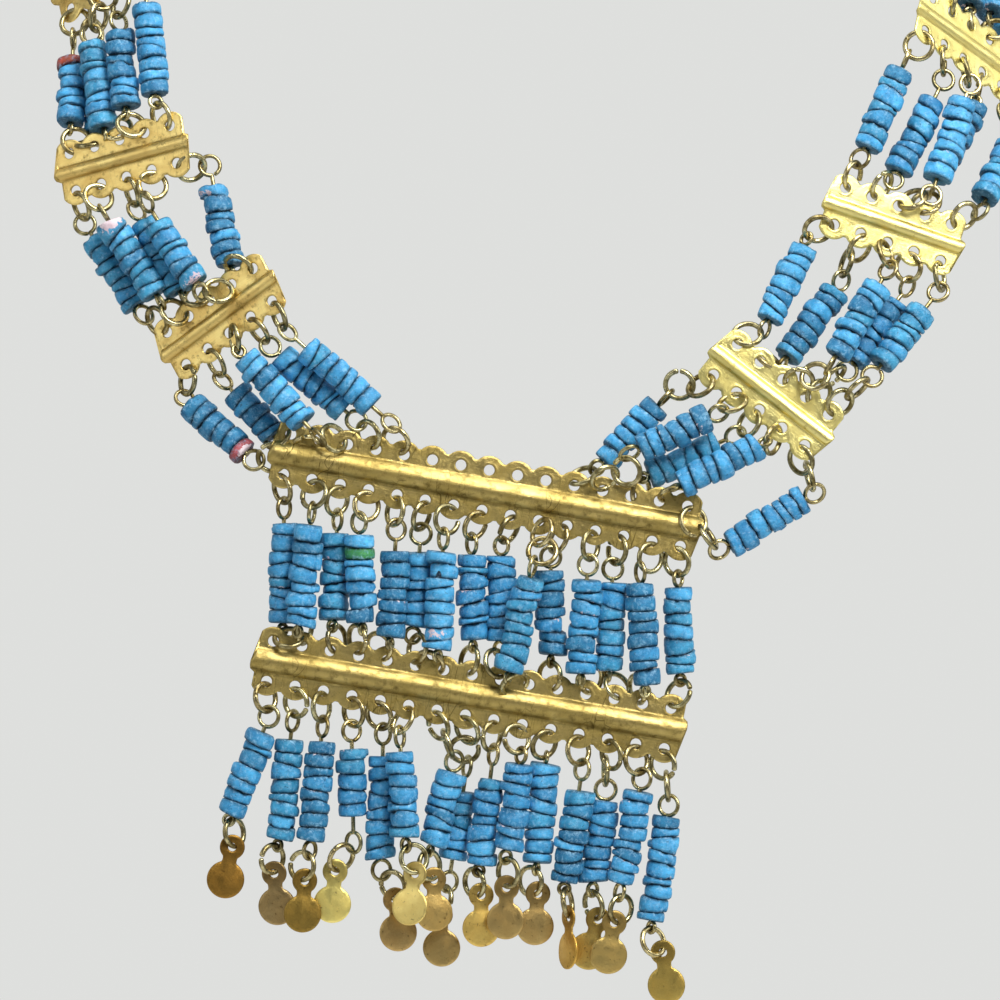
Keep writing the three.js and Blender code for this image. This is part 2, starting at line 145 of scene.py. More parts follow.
# Fringe strings: the same, then wire below the beads, its sideways run, the drop's swing and yaw.
FRINGE = [
    (-0.6, 8.4, -5.3, 14.7, -0.5, 0.8, 0.2, -12, 8),
    (-0.8, 8.9, -2, 16.8, 1, 1, -0.7, 5, -6),
    (-0.4, 8.4, -1.7, 16.6, -0.4, 2, -1, -4, 10),
    (0, 8.9, 0.2, 11.2, 0.8, 4.5, -3, -5, 0),
    (0.4, 9.3, -0.2, 17.2, 1.8, 2.1, 2.3, 5, 8),
    (-1.3, 7.6, 0.8, 14.4, -2.4, 1.3, 1.6, -9, -22),
    (2.4, 10.3, -3.3, 12.6, 0.6, 1.1, 0.4, 0, 14),
    (-0.4, 12.9, -1.8, 11.5, 4.2, 4.6, -2, 2, -6),
    (-0.6, 9.9, -1.8, 14.4, 1, 0.4, 0.3, 0, 5),
    (-0.4, 6.5, -2.2, 14.5, -0.9, 1.6, 0, -2, -5),
    (-0.8, 5.7, -1.5, 16.7, 1.2, 0.4, 0.2, -5, 8),
    (0, 9.4, -2.3, 15.5, -0.2, 1.1, 0.6, 0, -62),
    (-0.5, 10.3, -1.8, 13.8, 1.6, 1.5, 0.8, -17, -6),
    (0.6, 7.9, -3, 15.5, -0.3, 2, -1.2, -10, 6),
    (0.5, 11.3, -2.5, 17.7, 0.8, 0.5, 1.8, 6, -8),
]

# Strap strings: middle's shift across and up, turn, beaded length, depth.
EVEN_STRAP = [
    (-0.3, -0.6, 2, 14, 0.6),
    (0.2, -0.4, -2, 14, -0.6),
    (0, -0.5, 1, 14, 0.7),
    (-0.2, -0.4, -1, 14, -0.5),
    (0.3, -0.5, 2, 14, 0.6),
]
STRAPS = {
    "strap_beads_left_1": ("bib_bar_upper", 0, "strap_bar_left_1", [
        (-3.6, -4.9, -8, 12.8, 0.6),
        (-2.2, -3.4, -8, 10.2, 1.4),
        (-0.8, -0.2, -4, 14.9, -3.6),
        (-0.5, 0.1, 6, 14.2, 0.8),
        (0.8, 0.1, 8, 14.8, -1.6),
    ]),
    "strap_beads_left_2": ("strap_bar_left_1", 0, "strap_bar_left_2", [
        (-1.8, -1.6, 0, 13.8, 2),
        (-1.2, -1.7, -1, 14.7, -1.8),
        (-1.7, -2.9, -6, 13.7, 1.1),
        (-1.6, -4.5, -4, 12.3, -2),
        (0.1, -1.6, -25, 13.9, 2.2),
    ]),
    "strap_beads_left_3": ("strap_bar_left_2", 0, "strap_bar_left_3", [
        (1.2, -2.2, -1, 12.2, -1.4),
        (-1.2, -4.1, 0, 13.6, 2.6),
        (-2.1, -4.7, 4, 15.6, -1),
        (-1.7, -3.6, -1, 13.7, -1.1),
        (-1.4, -1.7, -2, 16, -0.1),
    ]),
    "strap_beads_left_4": ("strap_bar_left_3", 0, "strap_bar_left_4", EVEN_STRAP),
    "strap_beads_right_1": ("bib_bar_upper", 10, "strap_bar_right_1", [
        (-2.2, -0.5, 7, 13.2, 2),
        (0.7, 1.4, -12, 12.6, -2.9),
        (-1.9, -1, -9, 12.8, 1.7),
        (-0.3, -0.1, -4, 14.6, -3.1),
        (3.5, -7.6, 3, 14.9, 1.1),
    ]),
    "strap_beads_right_2": ("strap_bar_right_1", 0, "strap_bar_right_2", [
        (0.3, 0.4, 14, 14.1, 1.1),
        (0.8, -4, 3, 14.3, 2.9),
        (3, -1.9, 6, 14.1, -2.8),
        (2.9, -1.1, 1, 12.8, 1.8),
        (2.6, -0.2, -2, 12, -1.3),
    ]),
    "strap_beads_right_3": ("strap_bar_right_2", 0, "strap_bar_right_3", [
        (0.2, 0.2, 2, 14.8, 0.8),
        (2.3, -2.3, -1, 14, 1.4),
        (0.9, -2, 4, 15, -3.4),
        (2.8, 1.6, -4, 13.5, 2.8),
        (3.4, -2.9, -5, 12.6, -0.6),
    ]),
    "strap_beads_right_4": ("strap_bar_right_3", 0, "strap_bar_right_4", EVEN_STRAP),
}

# The points of each neck chain between its bar and the hook, and the hook end that it reaches.
CHAIN_ROUTES = {
    "neck_chain_left": (
        "strap_bar_left_4", -1, [(-66, -49, 1.5), (-57, -33, 2.5), (-44, -18, 2.5), (-27, -6, 1.5)],
    ),
    "neck_chain_right": (
        "strap_bar_right_4", 1, [(67, -51, -3.5), (58, -33, 0), (44, -18, 1), (27, -6, 1)],
    ),
}


def rgb(red, green, blue):
    """A colour as it looks on screen, 0 to 255, as linear numbers."""
    def linear(value):
        share = value / 255
        return share / 12.92 if share <= 0.04045 else ((share + 0.055) / 1.055) ** 2.4
    return (linear(red), linear(green), linear(blue))


# Clay colours. Most beads take one of the blues.
BLUES = [
    rgb(73, 168, 221), rgb(66, 158, 211), rgb(88, 184, 236), rgb(52, 134, 178), rgb(70, 164, 207),
]
# The dark blue painted into the slits between beads: painted shade on the dark core and discs
# there.
SLIT_SHADE_COLOUR = rgb(10, 38, 56)
BEAD_GREEN = rgb(70, 150, 82)
BEAD_RED = rgb(190, 84, 86)
BEAD_RUST = rgb(188, 78, 48)

# Beads of another colour, by their node, string and place in it. Hanging strings count from the top
# and strap strings from the lower end.
SPECIAL_BEADS = {
    ("bib_beads_1", 3, 1): BEAD_GREEN,
    ("strap_beads_left_1", 0, 0): BEAD_RED,
    ("strap_beads_left_3", 0, -1): BEAD_RUST,
}

# Beads with a flaked patch that shows the pale clay inside: the way it faces, its place between the
# bead's two faces, and its size.
FLAKED_BEADS = {
    ("bib_beads_2", 1, -2): ((-0.3, -1, 0), 0.4, 0.75),
    ("strap_beads_left_1", 0, 0): ((0.3, -1, 0.1), 0, 1.15),
    ("strap_beads_left_2", 1, -1): ((-0.1, -1, 0.5), 0.8, 1.25),
    ("strap_beads_left_2", 3, 0): ((0.3, -1, -0.4), 0.1, 1.1),
    ("strap_beads_left_2", 4, -1): ((-0.8, -0.7, 0), 0.3, 0.85),
}


class Bar:
    """A spacer bar's own axes: x along it, y back through the sheet, z to its upper row."""

    def __init__(self, at, turn, tilt, lean, sizes):
        turn, tilt, lean = (math.radians(angle) for angle in (turn, tilt, lean))
        back = Vector((-math.sin(turn), math.cos(turn), 0))
        self.along = Vector((
            math.cos(turn) * math.cos(tilt), math.sin(turn) * math.cos(tilt), math.sin(tilt),
        ))
        self.up = self.along.cross(back) * math.cos(lean) + back * math.sin(lean)
        self.into = self.up.cross(self.along)
        self.middle = Vector(at)
        self.sizes = sizes

    def point(self, x, y, z):
        return self.middle + self.along * x + self.into * y + self.up * z

    def hole_x(self, index):
        return (index - (self.sizes["holes"] - 1) / 2) * HOLE_PITCH

    def hole(self, row, index):
        return self.point(self.hole_x(index), 0, row * self.sizes["row_gap"] / 2)


BAR = {name: Bar(*place) for name, place in BARS.items()}


class Mesh:
    """Faces gathered from many small forms, with a tint, a value for worn spots and painted shade,
    and a patch value at each point.
    """

    def __init__(self):
        self.points = []
        self.faces = []
        self.tints = []
        self.wear = []
        self.patches = []
        self.place = []

    def add(self, points, faces, tint=(1, 1, 1), wear=None, patches=None, place=None):
        start = len(self.points)
        self.points.extend(points)
        self.faces.extend(tuple(start + i for i in face) for face in faces)
        self.tints.extend([tint] * len(points) if not isinstance(tint, list) else tint)
        self.wear.extend(wear or [0.0] * len(points))
        self.patches.extend(patches or [0.0] * len(points))
        self.place.extend(place or points)

    def make(self, name, material, slot, *nodes):
        mesh = bpy.data.meshes.new(name)
        mesh.from_pydata([tuple(p * MM for p in point) for point in self.points], [], self.faces)
        tint = mesh.attributes.new("tint", "FLOAT_COLOR", "POINT")
        tint.data.foreach_set("color", [v for c in self.tints for v in (*c, 1.0)])
        for name_of, values in (("wear", self.wear), ("patch", self.patches)):
            mesh.attributes.new(name_of, "FLOAT", "POINT").data.foreach_set("value", values)
        place = mesh.attributes.new("place", "FLOAT_VECTOR", "POINT")
        place.data.foreach_set("vector", [v for p in self.place for v in p])
        mesh.polygons.foreach_set("use_smooth", [True] * len(mesh.polygons))
        mesh.materials.append(material)
        mesh.update()
        piece = bpy.data.objects.new(name, mesh)
        bpy.context.scene.collection.objects.link(piece)
        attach(piece, "root")
        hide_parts(*nodes)
        return piece


def side_of(direction):
    """Two unit vectors square to a direction and to each other."""
    helper = Vector((0, 0, 1)) if abs(direction.z) < 0.8 else Vector((1, 0, 0))
    first = direction.cross(helper).normalized()
    return first, direction.cross(first).normalized()


def add_wire(mesh, path, radius, closed=False, sides=8, tint=(1, 1, 1)):
    """A round wire along a path of points, with domed ends where it is open."""
    count = len(path)
    stations = []
    for i, point in enumerate(path):
        before = path[i - 1] if i > 0 or closed else path[0]
        after = path[(i + 1) % count] if i < count - 1 or closed else path[-1]
        stations.append((point, (after - before).normalized(), radius))
    if not closed:
        for end, sign in ((0, -1), (-1, 1)):
            point, direction, _ = stations[end]
            caps = [(point + direction * sign * radius * out, direction, radius * width)
                    for out, width in ((0.35, 0.88), (0.6, 0.5), (0.68, 0.08))]
            stations = caps[::-1] + stations if sign < 0 else stations + caps
    points = []
    side, _ = side_of(stations[0][1])
    for point, direction, width in stations:
        side = (side - direction * side.dot(direction)).normalized()
        other = direction.cross(side)
        for k in range(sides):
            angle = 2 * math.pi * k / sides
            points.append(point + (side * math.cos(angle) + other * math.sin(angle)) * width)
    faces = []
    rings = len(stations)
    for i in range(rings if closed else rings - 1):
        j = (i + 1) % rings
        for k in range(sides):
            n = (k + 1) % sides
            faces.append((i * sides + k, i * sides + n, j * sides + n, j * sides + k))
    if not closed:
        faces.append(tuple(reversed(range(sides))))
        faces.append(tuple((rings - 1) * sides + k for k in range(sides)))
    mesh.add(points, faces, tint)


def circle_path(centre, right, up, radius, start, sweep, steps):
    """Points of an arc in the plane of two unit vectors, angles in degrees."""
    out = []
    for i in range(steps + 1):
        angle = math.radians(start + sweep * i / steps)
        out.append(centre + (right * math.cos(angle) + up * math.sin(angle)) * radius)
    return out


# A bead's section: share of the way from bore to rim, share from its first face to its second, and
# how worn that spot is.
BEAD_SECTION = [
    (0, 0, 0), (0.5, 0, 0.15), (0.86, 0, 0.6), (0.945, 0.07, 1), (0.985, 0.2, 0.8),
    (1.005, 0.5, 0),
    (0.985, 0.8, 0.8), (0.945, 0.93, 1), (0.86, 1, 0.6), (0.5, 1, 0.15), (0, 1, 0),
]
# The share of its colour that each point of that section keeps: its faces and bore are darker,
# painted shade in the slits between beads.
BEAD_SEAM_SHADE = [0.4, 0.35, 0.3, 0.5, 0.9, 1, 0.9, 0.5, 0.3, 0.35, 0.4]


def add_bead(mesh, rng, centre, frame_axes, faces_at, tilts, radius, tint, flake):
    """One disc between two tilted faces. faces_at are its faces' distances along the string, and
    flake is the way that its pale patch faces, its place between the faces and its size."""
    axis, right, other = frame_axes
    bulges = [(k, rng.uniform(0, 0.028 / (k - 1)), rng.uniform(0, 6.3)) for k in (2, 3, 4, 7)]
    flat_count = rng.choice((0, 1, 1, 2))
    flats = [(rng.uniform(0, 6.3), rng.uniform(0.88, 0.96)) for _ in range(flat_count)]
    chip_seed = Vector((rng.uniform(0, 90), rng.uniform(0, 90), rng.uniform(0, 90)))
    points, tints, wear, patches = [], [], [], []
    for k in range(BEAD_SEGMENTS):
        angle = 2 * math.pi * k / BEAD_SEGMENTS
        outward = right * math.cos(angle) + other * math.sin(angle)
        rim = radius * (1 + sum(size * math.cos(n * angle + turn) for n, size, turn in bulges))
        for flat_angle, share in flats:
            facing = math.cos(angle - flat_angle)
            if facing > 0.5:
                rim = min(rim, radius * share / facing)
        for (out, down, worn), lit_share in zip(BEAD_SECTION, BEAD_SEAM_SHADE):
            reach = BEAD_BORE + (rim - BEAD_BORE) * out
            spot = chip_seed + Vector((math.cos(angle) * 1.6, math.sin(angle) * 1.6, down * 2.2))
            chip = max(0.0, noise.noise(spot) - 0.12) * 1.3
            if worn > 0.5:
                reach -= chip * 0.5
            along = []
            for at, (lean_a, lean_b) in zip(faces_at, tilts):
                along.append(at + reach * (lean_a * math.cos(angle) + lean_b * math.sin(angle)))
            share = down
            if worn > 0.5:
                share += (0.5 - down) * chip * 0.35
            shift = along[0] + (along[1] - along[0]) * share
            ripple = 0.03 * noise.noise(spot * 2.5)
            points.append(centre + axis * shift + outward * (reach + ripple))
            # Painted shade: the faces and bore take a darker tint than the rim.
            tints.append(tuple(channel * lit_share for channel in tint))
            wear.append(min(1.0, worn + chip))
            facing = max(0.0, outward.dot(flake[0]) - 0.25) / 0.75
            patches.append(facing * max(0.0, 1 - 1.3 * abs(down - flake[1])) * flake[2])
    faces = []
    size = len(BEAD_SECTION)
    for k in range(BEAD_SEGMENTS):
        n = (k + 1) % BEAD_SEGMENTS
        for i in range(size):
            j = (i + 1) % size
            faces.append((k * size + i, k * size + j, n * size + j, n * size + i))
    mesh.add(points, faces, tints, wear, patches)


def add_seam_shade(mesh, centre, frame_axes, at, lean):
    """A dark disc of painted shade in the slit between two beads."""
    axis, right, other = frame_axes
    points = []
    for face in (-SEAM_FILL, SEAM_FILL):
        for k in range(SEAM_SIDES):
            angle = 2 * math.pi * k / SEAM_SIDES
            slope = lean[0] * math.cos(angle) + lean[1] * math.sin(angle)
            outward = right * math.cos(angle) + other * math.sin(angle)
            points.append(centre + axis * (at + face + SEAM_RADIUS * slope) + outward * SEAM_RADIUS)
    faces = [tuple(reversed(range(SEAM_SIDES))), tuple(range(SEAM_SIDES, 2 * SEAM_SIDES))]
    for k in range(SEAM_SIDES):
        n = (k + 1) % SEAM_SIDES
        faces.append((k, n, n + SEAM_SIDES, k + SEAM_SIDES))
    mesh.add(points, faces, SLIT_SHADE_COLOUR)


def add_string(mesh, rng, node, index, first, last):
    """Beads from one end of a string to the other, cut at uneven slants and pushed off centre."""
    axis = last - first
    length = axis.length
    axis.normalize()
    right, other = side_of(axis)
    axes = (axis, right, other)
    count = max(3, round(length / BEAD_THICKNESS))
    sizes = [rng.choice(THICKNESS_SHARES) * rng.uniform(0.94, 1.06) for _ in range(count)]
    scale = length / sum(sizes)
    edges = [0.0]
    for size in sizes:
        edges.append(edges[-1] + size * scale)
    tilts = [(rng.gauss(0, SLANT), rng.gauss(0, SLANT)) for _ in edges]
    tilts[0] = (rng.gauss(0, 0.05), rng.gauss(0, 0.05))
    tilts[-1] = (rng.gauss(0, 0.07), rng.gauss(0, 0.07))
    base = rng.choice(BLUES)
    # A dark tube of painted shade inside the beads, which shows in the slits between them.
    inside = axis * 0.9 * SHADE_CORE_RADIUS
    add_wire(mesh, [first + inside, last - inside], SHADE_CORE_RADIUS, sides=16, tint=SLIT_SHADE_COLOUR)
    for i in range(count):
        blue = rng.choice(BLUES) if rng.random() < 0.35 else base
        glow = rng.uniform(0.88, 1.14)
        tint = tuple(channel * glow for channel in blue)
        turn = rng.uniform(0, 2 * math.pi)
        spot = right * math.cos(turn) + other * math.sin(turn)
        flake = (spot, rng.choice((0, 1)), rng.choice((0, 0, 0, 0, 0.35, 0.5)))
        for key in ((node, index, i), (node, index, i - count)):
            tint = SPECIAL_BEADS.get(key, tint)
            if key in FLAKED_BEADS:
                facing, place, size = FLAKED_BEADS[key]
                flake = (Vector(facing).normalized(), place, size)
        push = [max(-MOST_PUSH, min(MOST_PUSH, rng.gauss(0, 0.22))) for _ in range(2)]
        centre = first + right * push[0] + other * push[1]
        # A dark disc of painted shade fills the slit between this bead and the one before.
        if i > 0:
            add_seam_shade(mesh, (centre + before) / 2, axes, edges[i], tilts[i])
        before = centre
        radius = BEAD_RADIUS * rng.choice(RADIUS_SHARES)
        faces_at = (edges[i] + SEAM, edges[i + 1] - SEAM)
        add_bead(mesh, rng, centre, axes, faces_at, tilts[i:i + 2], radius, tint, flake)


def brass_tint(rng):
    """A wire's own shade: a little lighter or darker, and warmer or cooler."""
    glow = rng.uniform(0.8, 1.2)
    warm = rng.uniform(-0.05, 0.05)
    return (glow * (1 + warm), glow, glow * (1 - warm))


def add_ring(mesh, rng, grip, far, normal, radius):
    """An open wire ring through two points, tipped part of the way towards the sheet. It returns
    the direction across the ring."""
    chord = far - grip
    half = chord.length / 2
    chord.normalize()
    lateral = chord.cross(normal).normalized() * rng.choice((-1, 1))
    through = chord.cross(lateral).normalized() * rng.choice((-1, 1))
    tip = math.radians(rng.uniform(28, 58))
    across = (lateral * math.cos(tip) + through * math.sin(tip)).normalized()
    radius = max(radius, half)
    offset = math.sqrt(max(0.0, radius ** 2 - half ** 2))
    middle = (grip + far) / 2 + across * offset
    opening = rng.choice((4, 6, 8, 12, 20))
    start = rng.choice((0, 180)) + rng.uniform(-32, 32)
    path = circle_path(middle, across, chord, radius, start + opening / 2, 360 - opening, 30)
    add_wire(mesh, path, RING_WIRE, tint=brass_tint(rng))
    return across


def add_link(mesh, rng, end, outward, hole, normal, hole_radius=HOLE_RADIUS):
    """The pin's eye beyond one end of a string, and the ring or rings from it to a hole."""
    pull = end - hole
    in_sheet = pull - normal * pull.dot(normal)
    grip = hole + in_sheet.normalized() * (hole_radius - RING_WIRE - WIRE_PLAY)
    gap = end - grip
    ahead = -gap.dot(outward)
    for eye in EYE_RADII:
        nearest = eye + EYE_CLEARANCE
        reach = RING_SPAN + eye - EYE_WIRE - RING_WIRE
        if (end + outward * nearest - grip).length >= 0.93 * reach:
            break
    extra = 2 * (RING_RADIUS - RING_WIRE)

    def bare_for(span):
        inside = ahead ** 2 - gap.length_squared + span ** 2
        return ahead - math.sqrt(inside) if inside > 0 else ahead

    bare = max(nearest, bare_for(reach))
    beyond = (end + outward * bare - grip).length
    rings = 1
    if bare > nearest + 2.6 or beyond > 1.2 * reach:
        rings = 2
        bare = max(nearest, bare_for(reach + extra))
    middle = end + outward * bare
    toward = (grip - middle).normalized()
    far = middle + toward * (eye - EYE_WIRE - RING_WIRE)
    if rings == 1:
        across = add_ring(mesh, rng, grip, far, normal, RING_RADIUS)
    else:
        span = far - grip
        first_far = grip + span * 0.5 - toward * RING_WIRE
        second_grip = grip + span * 0.5 + toward * RING_WIRE
        small = min(RING_RADIUS, 0.3 * span.length + 0.4)
        first = add_ring(mesh, rng, grip, first_far, normal, small)
        across = add_ring(mesh, rng, second_grip, far, first, small)
    square = (across - outward * across.dot(outward)).normalized()
    square = Matrix.Rotation(math.radians(rng.uniform(-28, 28)), 3, outward) @ square
    level = outward.cross(square) * rng.choice((-1, 1))
    tint = brass_tint(rng)
    add_wire(mesh, [end - outward * 1.2, middle - outward * eye], EYE_WIRE, tint=tint)
    path = circle_path(middle, level, outward, eye, -92, rng.uniform(340, 356), 24)
    add_wire(mesh, path, EYE_WIRE, tint=tint)


def distance_to(point, outline):
    """How far a point is from a closed outline, and whether it is inside."""
    best = 1e9
    inside = False
    x, y = point
    ax, ay = outline[-1]
    for bx, by in outline:
        dx, dy = bx - ax, by - ay
        share = ((x - ax) * dx + (y - ay) * dy) / (dx * dx + dy * dy)
        share = min(1.0, max(0.0, share))
        best = min(best, (x - ax - share * dx) ** 2 + (y - ay - share * dy) ** 2)
        if (ay > y) != (by > y) and x < ax + (y - ay) * dx / dy:
            inside = not inside
        ax, ay = bx, by
    return math.sqrt(best), inside


def hole_points(x, z, radius):
    """The corners of a round hole, or of a line round it."""
    turns = [2 * math.pi * k / HOLE_SIDES for k in range(HOLE_SIDES)]
    return [Vector((x + radius * math.cos(a), z + radius * math.sin(a))) for a in turns]


def add_sheet(mesh, outline, holes, rows, step, thickness, height, to_world, marks_at, seed):
    """A thin plate with rounded edges. height(x, z) gives how far its front stands out, and
    marks_at(x, z) its value for worn spots and painted shade, and its patch value."""
    flat = [Vector(p) for p in outline]
    count = len(outline)
    edges = [(i, (i + 1) % count) for i in range(count)]
    inset = []
    for i in range(count):
        ahead = (flat[(i + 1) % count] - flat[i - 1]).normalized()
        inset.append(flat[i] + Vector((-ahead.y, ahead.x)) * EDGE_INSET)
    for x, z, radius in holes:
        start = len(flat)
        flat.extend(hole_points(x, z, radius))
        edges.extend((start + k, start + (k + 1) % HOLE_SIDES) for k in range(HOLE_SIDES))
        for margin in HOLE_MARGINS:
            inset.extend(hole_points(x, z, radius + margin))
    spread = [p for p in inset if distance_to(p, outline)[1] and distance_to(p, outline)[0] > 0.1]
    low, high = min(x for x, _ in outline), max(x for x, _ in outline)
    for n, z in enumerate(rows):
        x = low + (step / 2 if n % 2 else 0)
        while x < high:
            near, inside = distance_to((x, z), outline)
            clear = all(
                (x - hx) ** 2 + (z - hz) ** 2 > (radius + 0.55) ** 2 for hx, hz, radius in holes
            )
            if inside and near > 0.26 and clear:
                spread.append(Vector((x, z)))
            x += step
    flat.extend(spread)
    verts, _, tris, _, _, _ = delaunay_2d_cdt(flat, edges, [list(range(count))], 1, 1e-5)
    kept = []
    for a, b, c in tris:
        at = (verts[a] + verts[b] + verts[c]) / 3
        if all((at.x - x) ** 2 + (at.y - z) ** 2 > radius ** 2 * 0.96 for x, z, radius in holes):
            kept.append((a, b, c))
    sides = dict.fromkeys(side for tri in kept for side in zip(tri, tri[1:] + tri[:1]))
    border = [side for side in sides if (side[1], side[0]) not in sides]
    on_rim = {end for side in border for end in side}
    points, marks, place = [], [], []
    for back in (False, True):
        for i, vert in enumerate(verts):
            front = -thickness / 2 - height(vert.x, vert.y)
            roll = EDGE_ROLL if i in on_rim else 0.0
            y = front + thickness - roll if back else front + roll
            points.append(to_world(vert.x, y, vert.y))
            marks.append(marks_at(vert.x, vert.y))
            place.append(Vector((vert.x + seed, y, vert.y)))
    total = len(verts)
    faces = list(kept)
    faces.extend((c + total, b + total, a + total) for a, b, c in kept)
    faces.extend((a, a + total, b + total, b) for a, b in border)
    wear, patches = map(list, zip(*marks))
    mesh.add(points, faces, wear=wear, patches=patches, place=place)


def bar_outline(sizes):
    """The scalloped outline with the rib's nibs at its ends, counter-clockwise from the front."""
    rise = SCALLOP_CREST - SCALLOP_VALLEY
    radius = ((HOLE_PITCH / 2) ** 2 + rise ** 2) / (2 * rise)
    half_angle = math.atan2(HOLE_PITCH / 2, radius - rise)
    centre_z = sizes["row_gap"] / 2 + SCALLOP_CREST - radius
    top = []
    for i in range(sizes["holes"]):
        middle = (i - (sizes["holes"] - 1) / 2) * HOLE_PITCH
        for k in range(1, SCALLOP_SIDES):
            angle = half_angle * (1 - 2 * k / SCALLOP_SIDES)
            top.append((middle - radius * math.sin(angle), centre_z + radius * math.cos(angle)))
    end = sizes["holes"] * HOLE_PITCH / 2
    valley = sizes["row_gap"] / 2 + SCALLOP_VALLEY
    width = sizes["rib_width"]
    for z in (valley, valley * 0.75, valley * 0.5 + width * 0.4, width + 0.25):
        top.append((end - 0.03 * (valley - z), z))
    top.append((end + RIB_NIB * 0.85, width * 0.86))
    for share in (0.55, 0.2):
        top.append((end + RIB_NIB, width * share))
    bottom = [(-x, -z) for x, z in top]
    return list(reversed(top + bottom))


def add_bar(name, material, seed):
    """A stamped bar: a raised rib, lips round its holes, and the dents and warp of long use."""
    bar = BAR[name]
    sizes = bar.sizes
    width, tall = sizes["rib_width"], sizes["rib_height"]
    outline = bar_outline(sizes)
    holes = []
    for i in range(sizes["holes"]):
        for row in (-1, 1):
            holes.append((bar.hole_x(i), row * sizes["row_gap"] / 2, HOLE_RADIUS))
    shares = (0, 0.2, 0.4, 0.58, 0.74, 0.86, 0.94, 0.99, 1.03, 1.1, 1.25)
    rows = sorted({sign * width * share for share in shares for sign in (-1, 1)})
    top = sizes["row_gap"] / 2 + SCALLOP_CREST
    z = width * 1.25 + 0.35
    while z < top:
        rows.extend((z, -z))
        z += 0.42
    rows.sort()

    def height(x, z):
        near = min(1.0, abs(z) / width)
        rib = tall * (1 - near ** 2) ** sizes["rib_edge"]
        spread = min(math.hypot(x - hx, z - hz) for hx, hz, _ in holes) - HOLE_RADIUS
        lip = 0.09 * math.exp(-((spread - 0.12) / 0.16) ** 2)
        where = Vector((x * 0.05 + seed, z * 0.1, seed))
        warp = 0.35 * noise.noise(where)
        dents = 0.05 * noise.noise(Vector((x * 0.5, z * 0.6, seed * 3)))
        fine = 0.012 * noise.noise(Vector((x * 1.7, z * 1.7, seed * 5)))
        flap = 0.12 * noise.noise(Vector((x * 0.21, math.copysign(3, z), seed * 7)))
        return rib + lip + warp + dents + fine + flap * max(0.0, abs(z) / top - 0.3)

    def marks_at(x, z):
        # The first value darkens the rib's creases and the hole rims: painted shade, with some
        # dirt.
        crease = math.exp(-((abs(z) - width * 1.02) / 0.22) ** 2)
        spread = min(math.hypot(x - hx, z - hz) for hx, hz, _ in holes) - HOLE_RADIUS
        # The second value is painted shade on the rib's lower half, as if the light came from
        # above.
        lower_half_shade = min(1.0, max(0.0, 0.2 - 1.1 * z / width)) * min(1.0, max(0.0, 6 + 5 * z / width))
        return max(0.5 * crease, 0.8 * math.exp(-(spread / 0.14) ** 2)), lower_half_shade

    mesh = Mesh()
    add_sheet(mesh, outline, holes, rows, 0.5, SHEET, height, bar.point, marks_at, seed * 40)
    mesh.make(f"{name}_plate", material, "bar_brass", name)


def drop_outline():
    """The lobe over the disc, with their corners cut, counter-clockwise from the front."""
    corners = []
    for radius, middle, neck_way, steps in (
        (LOBE_RADIUS, 0, -math.pi / 2, 24), (DISC_RADIUS, -LOBE_TO_DISC, math.pi / 2, 36),
    ):
        neck = math.asin(NECK_HALF_WIDTH / radius)
        for k in range(steps + 1):
            angle = neck_way + neck + (2 * math.pi - 2 * neck) * k / steps
            corners.append((radius * math.cos(angle), middle + radius * math.sin(angle)))
    outline = []
    for (ax, ay), (bx, by) in zip(corners, corners[1:] + corners[:1]):
        outline.append((ax * 0.75 + bx * 0.25, ay * 0.75 + by * 0.25))
        outline.append((ax * 0.25 + bx * 0.75, ay * 0.25 + by * 0.75))
    return outline


def add_drop(number, hole, swing, yaw, rng, tone, material):
    """A thin dished drop on its hole. It returns the direction through its sheet."""
    swung = Matrix.Rotation(math.radians(-swing), 3, "Y")
    turn = swung @ Matrix.Rotation(math.radians(yaw), 3, "Z")
    bend = rng.uniform(-0.35, 0.35)
    crease = rng.uniform(-1.5, 1.5)
    seed = number * 1.7

    def height(x, z):
        dish = 0.22 * (1 - min(1.0, math.hypot(x, z + LOBE_TO_DISC) / DISC_RADIUS) ** 2)
        line = 0.08 * math.exp(-((x - crease * 0.3) / 0.25) ** 2) if number in (3, 4) else 0.0
        wave = 0.14 * noise.noise(Vector((x * 0.3, z * 0.3, seed)))
        fine = 0.02 * noise.noise(Vector((x * 1.4, z * 1.4, seed * 2)))
        return dish + line + wave + fine + bend * (z / 8) ** 2

    def marks_at(x, z):
        spread = math.hypot(x, z) - DROP_HOLE_RADIUS
        rim = max(0.0, math.hypot(x, z + LOBE_TO_DISC) / DISC_RADIUS - 0.85) * 3
        return min(1.0, math.exp(-(spread / 0.3) ** 2) + rim * 0.5), 0.0

    def to_world(x, y, z):
        return hole + turn @ Vector((x, y, z))

    step = 0.42
    rows = [-8.6 + step * i for i in range(26)]
    holes = [(0, 0, DROP_HOLE_RADIUS)]
    mesh = Mesh()
    add_sheet(
        mesh, drop_outline(), holes, rows, step, DROP_SHEET, height, to_world, marks_at, seed * 9,
    )
    mesh.tints = [tone] * len(mesh.points)
    mesh.make(f"drop_{number:02d}_plate", material, "drop_brass", f"drop_{number:02d}")
    return turn @ Vector((0, 1, 0))


